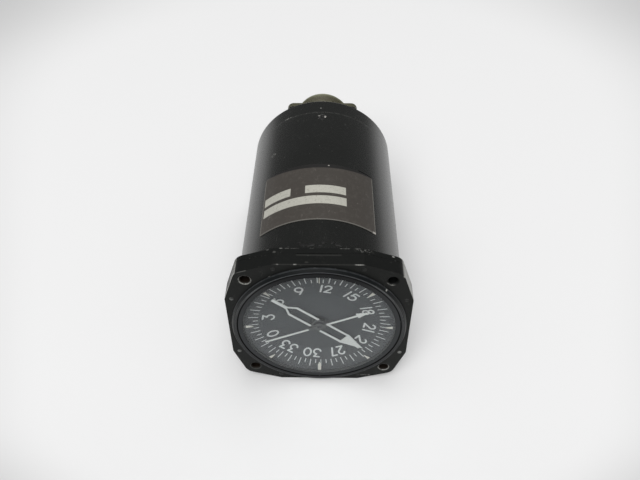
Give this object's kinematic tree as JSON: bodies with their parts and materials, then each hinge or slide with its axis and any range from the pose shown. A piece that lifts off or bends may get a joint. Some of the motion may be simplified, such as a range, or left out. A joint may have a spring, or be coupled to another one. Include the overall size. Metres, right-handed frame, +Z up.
{
  "type": "radio magnetic indicator",
  "caption": "Round panel instrument with a square eared flange, a glazed rotating compass card, a single-bar and a double-bar pointer, and a round multi-pin connector on the rear cap.",
  "frame": {"origin": "centre of the mounting flange's rear face, which seats on the panel, on the case axis", "axes": "+Y along the case axis to the rear and the connector, +Z up to the lubber line, +X to the right as seen from the front"},
  "size_m": [0.0826, 0.1519, 0.0826],
  "materials": {
    "black_enamel": "worn satin black enamel on aluminium",
    "worn_screw": "worn steel with black in the slot",
    "black_screw": "chipped black",
    "dark_ring": "satin black",
    "window_glass": "clear",
    "index_black": "matte black with white marks",
    "seal_rubber": "matte",
    "plate_bronze": "aged dark bronze with light fields",
    "olive_drab": "olive drab plating",
    "insert_resin": "moulded dark green",
    "gilt_brass": "bright",
    "plated_screw": "plated",
    "wire_sleeve": "white insulation",
    "card_black": "matte black with white figures",
    "bright_aluminium": "machined",
    "ground_steel": "ground",
    "bronze": "sintered",
    "gear_brass": "cut",
    "bearing_steel": "polished",
    "pointer_white": "cream white, black middle",
    "rotor_copper": "wound copper",
    "stack_steel": "laminated",
    "board_green": "epoxy glass",
    "board_tan": "phenolic",
    "parts_dark": "moulded and canned parts"
  },
  "bodies": {
    "instrument": {"front_bezel": "black_enamel", "mounting_flange": "black_enamel", "case_tube": "black_enamel", "rear_cap": "black_enamel", "bezel_screws": "worn_screw", "rear_cap_screws": "black_screw", "glass_retaining_ring": "dark_ring", "cover_glass": "window_glass", "index_ring": "index_black", "glass_gasket": "seal_rubber", "nameplate": "plate_bronze", "rear_cap_seal": "seal_rubber", "connector_gasket": "seal_rubber", "connector_shell": "olive_drab", "connector_insert": "insert_resin", "connector_pins": "gilt_brass", "connector_screws": "plated_screw", "connector_wires": "wire_sleeve", "card_bearings": "bearing_steel", "double_shaft_bearing": "bearing_steel", "reduction_bushes": "bronze", "front_plate": "bright_aluminium", "middle_plate": "bright_aluminium", "rear_plate": "bright_aluminium", "frame_posts": "bright_aluminium", "frame_screws": "plated_screw", "synchro_housings": "bright_aluminium", "motor_housing": "bright_aluminium", "synchro_stators": "stack_steel", "motor_stator": "stack_steel", "synchro_clamps": "plated_screw", "amplifier_board": "board_green", "amplifier_parts": "parts_dark", "terminal_board": "board_tan", "board_posts": "bright_aluminium"},
    "card": {"compass_card": "card_black", "card_hub": "bright_aluminium", "card_tube": "ground_steel", "card_bushes": "bronze", "card_drive_gear": "gear_brass", "heading_takeoff_gear": "gear_brass"},
    "single_pointer": {"single_bar_pointer": "pointer_white", "single_pointer_shaft": "ground_steel", "single_synchro_rotor": "rotor_copper"},
    "double_pointer": {"double_bar_pointer": "pointer_white", "double_pointer_shaft": "ground_steel", "double_shaft_bushes": "bronze", "double_pointer_gear": "gear_brass"},
    "double_synchro": {"double_synchro_shaft": "ground_steel", "double_synchro_gear": "gear_brass", "double_synchro_rotor": "rotor_copper"},
    "heading_synchro": {"heading_synchro_shaft": "ground_steel", "heading_synchro_gear": "gear_brass", "heading_synchro_rotor": "rotor_copper"},
    "servo_rotor": {"motor_shaft": "ground_steel", "motor_pinion": "gear_brass", "motor_rotor": "stack_steel"},
    "reduction": {"reduction_shaft": "ground_steel", "reduction_gear": "gear_brass", "reduction_pinion": "gear_brass"}
  },
  "joints": [
    {"name": "card_spin", "type": "hinge", "parent": "instrument", "child": "card", "pos_m": [0, 0, 0], "axis": [0, 1, 0], "continuous": true},
    {"name": "single_pointer_spin", "type": "hinge", "parent": "instrument", "child": "single_pointer", "pos_m": [0, 0, 0], "axis": [0, 1, 0], "continuous": true},
    {"name": "double_pointer_spin", "type": "hinge", "parent": "instrument", "child": "double_pointer", "pos_m": [0, 0, 0], "axis": [0, 1, 0], "continuous": true},
    {"name": "reduction_spin", "type": "hinge", "parent": "instrument", "child": "reduction", "pos_m": [0.01346, 0, -0.01689], "axis": [0, 1, 0], "continuous": true},
    {"name": "servo_spin", "type": "hinge", "parent": "instrument", "child": "servo_rotor", "pos_m": [0, 0, -0.022], "axis": [0, 1, 0], "continuous": true},
    {"name": "heading_synchro_spin", "type": "hinge", "parent": "instrument", "child": "heading_synchro", "pos_m": [-0.01732, 0, 0.01], "axis": [0, 1, 0], "continuous": true},
    {"name": "double_synchro_spin", "type": "hinge", "parent": "instrument", "child": "double_synchro", "pos_m": [0.01732, 0, 0.01], "axis": [0, 1, 0], "continuous": true}
  ],
  "couplings": [
    {"joint": "reduction_spin", "follows": "card_spin", "ratio": -5},
    {"joint": "servo_spin", "follows": "card_spin", "ratio": 15},
    {"joint": "heading_synchro_spin", "follows": "card_spin", "ratio": -1},
    {"joint": "double_synchro_spin", "follows": "double_pointer_spin", "ratio": -1}
  ]
}
